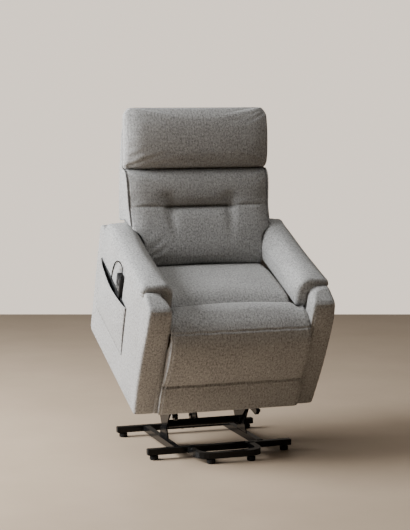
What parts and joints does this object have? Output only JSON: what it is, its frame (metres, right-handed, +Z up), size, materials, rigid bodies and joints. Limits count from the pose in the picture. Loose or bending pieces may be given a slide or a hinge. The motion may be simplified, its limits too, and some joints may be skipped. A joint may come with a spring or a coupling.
{
  "type": "lift recliner chair",
  "caption": "Upholstered power lift recliner standing raised on a steel tube base, with reclining back, leg rest, padded arms and a wired hand control in a side pocket.",
  "frame": {"origin": "on the floor, at the middle of the chair's width and of its depth as it stands raised", "axes": "+Z up, -Y the way the sitter faces, +X to the left hand of somebody facing the chair's back; -X is the side with the hand control"},
  "size_m": [0.7913, 0.8687, 1.4098],
  "materials": {
    "fabric_grey": "heathered woven upholstery, matt",
    "lining_black": "black woven webbing",
    "black_steel": "gloss black powder coat",
    "zinc": "zinc plated, satin",
    "plywood": "raw birch plywood",
    "black_plastic": "fine textured moulding",
    "grey_plastic": "satin keys",
    "light_plastic": "satin keys",
    "rubber": "matt black"
  },
  "bodies": {
    "base": {"left_rail": "black_steel", "right_rail": "black_steel", "front_crossbar": "black_steel", "rear_crossbar": "black_steel", "front_hoop": "black_steel", "foot_1": "rubber", "foot_2": "rubber", "foot_3": "rubber", "foot_4": "rubber", "foot_5": "rubber", "foot_6": "rubber", "left_riser": "black_steel", "right_riser": "black_steel"},
    "lift_links": {"left_lift_link": "black_steel", "right_lift_link": "black_steel", "torsion_tube": "black_steel"},
    "front_links": {"left_front_link": "black_steel", "right_front_link": "black_steel"},
    "chair": {"left_side_rail": "black_steel", "right_side_rail": "black_steel", "front_cross_tube": "black_steel", "mid_cross_tube": "black_steel", "rear_cross_tube": "black_steel", "left_rear_hanger": "black_steel", "right_rear_hanger": "black_steel", "left_front_hanger": "black_steel", "right_front_hanger": "black_steel", "left_side_panel": "fabric_grey", "right_side_panel": "fabric_grey", "left_arm_pad": "fabric_grey", "right_arm_pad": "fabric_grey", "rear_panel": "fabric_grey", "front_seat_rail": "plywood", "rear_seat_rail": "plywood", "seat_platform": "lining_black", "seat_cushion": "fabric_grey", "front_pad": "fabric_grey", "back_hinge_shaft": "zinc", "pocket_panel": "fabric_grey", "handset_shell": "black_plastic", "handset_strain_relief": "rubber", "handset_cord": "rubber", "cord_clip": "rubber", "control_box": "black_plastic"},
    "legrest": {"legrest_board": "plywood", "legrest_pad": "fabric_grey"},
    "back": {"back_board": "plywood", "lower_back_cushion": "fabric_grey", "lumbar_cushion": "fabric_grey", "head_cushion": "fabric_grey", "back_shell": "fabric_grey", "back_lever": "black_steel"},
    "lift_actuator": {"lift_motor": "black_plastic"},
    "lift_piston": {"lift_rod": "zinc"},
    "back_actuator": {"back_motor": "black_plastic"},
    "back_piston": {"back_rod": "zinc"},
    "key_back_up": {"button_back_up": "grey_plastic"},
    "key_back_down": {"button_back_down": "grey_plastic"},
    "key_lift": {"button_lift": "light_plastic"},
    "key_lower": {"button_lower": "light_plastic"}
  },
  "joints": [
    {"name": "lift", "type": "hinge", "parent": "base", "child": "lift_links", "pos_m": [0, -0.03, 0.184], "axis": [1, 0, 0], "range_deg": [-45.5, 0]},
    {"name": "chair_tilt", "type": "hinge", "parent": "lift_links", "child": "chair", "pos_m": [0, 0.34484, 0.49234], "axis": [1, 0, 0], "range_deg": [0, 24.6]},
    {"name": "front_link", "type": "hinge", "parent": "base", "child": "front_links", "pos_m": [0, -0.116, 0.161], "axis": [1, 0, 0], "range_deg": [-59.6, 0]},
    {"name": "lift_motor_swing", "type": "hinge", "parent": "chair", "child": "lift_actuator", "pos_m": [0, 0.21863, 0.60349], "axis": [1, 0, 0], "range_deg": [-21.8, 0]},
    {"name": "lift_stroke", "type": "slide", "parent": "lift_actuator", "child": "lift_piston", "axis": [0, -0.2468, -0.9691], "range_m": [-0.0679, 0]},
    {"name": "back_recline", "type": "hinge", "parent": "chair", "child": "back", "pos_m": [0, 0.17779, 0.73778], "axis": [-1, 0, 0], "range_deg": [0, 30]},
    {"name": "back_motor_swing", "type": "hinge", "parent": "chair", "child": "back_actuator", "pos_m": [0, -0.16772, 0.4659], "axis": [1, 0, 0], "range_deg": [-0.5, 0.5]},
    {"name": "back_stroke", "type": "slide", "parent": "back_actuator", "child": "back_piston", "axis": [0, 0.9489, 0.3156], "range_m": [-0.0787, 0]},
    {"name": "legrest_swing", "type": "hinge", "parent": "chair", "child": "legrest", "pos_m": [0, -0.3924, 0.53497], "axis": [-1, 0, 0], "range_deg": [0, 85]},
    {"name": "press_back_up", "type": "slide", "parent": "chair", "child": "key_back_up", "axis": [1, 0, 0], "range_m": [0, 0.001], "stiffness_N_per_m": 400, "springref_m": -0.0005},
    {"name": "press_back_down", "type": "slide", "parent": "chair", "child": "key_back_down", "axis": [1, 0, 0], "range_m": [0, 0.001], "stiffness_N_per_m": 400, "springref_m": -0.0005},
    {"name": "press_lift", "type": "slide", "parent": "chair", "child": "key_lift", "axis": [1, 0, 0], "range_m": [0, 0.001], "stiffness_N_per_m": 400, "springref_m": -0.0005},
    {"name": "press_lower", "type": "slide", "parent": "chair", "child": "key_lower", "axis": [1, 0, 0], "range_m": [0, 0.001], "stiffness_N_per_m": 400, "springref_m": -0.0005}
  ],
  "couplings": [
    {"joint": "chair_tilt", "follows": "lift", "ratio": -0.53846},
    {"joint": "front_link", "follows": "lift", "ratio": 1.3058},
    {"joint": "lift_motor_swing", "follows": "lift", "ratio": 0.47727},
    {"joint": "lift_stroke", "follows": "lift", "m_per_rad": 0.085306},
    {"joint": "back_motor_swing", "follows": "back_recline", "ratio": 0.00833},
    {"joint": "back_stroke", "follows": "back_recline", "m_per_rad": -0.14998}
  ]
}
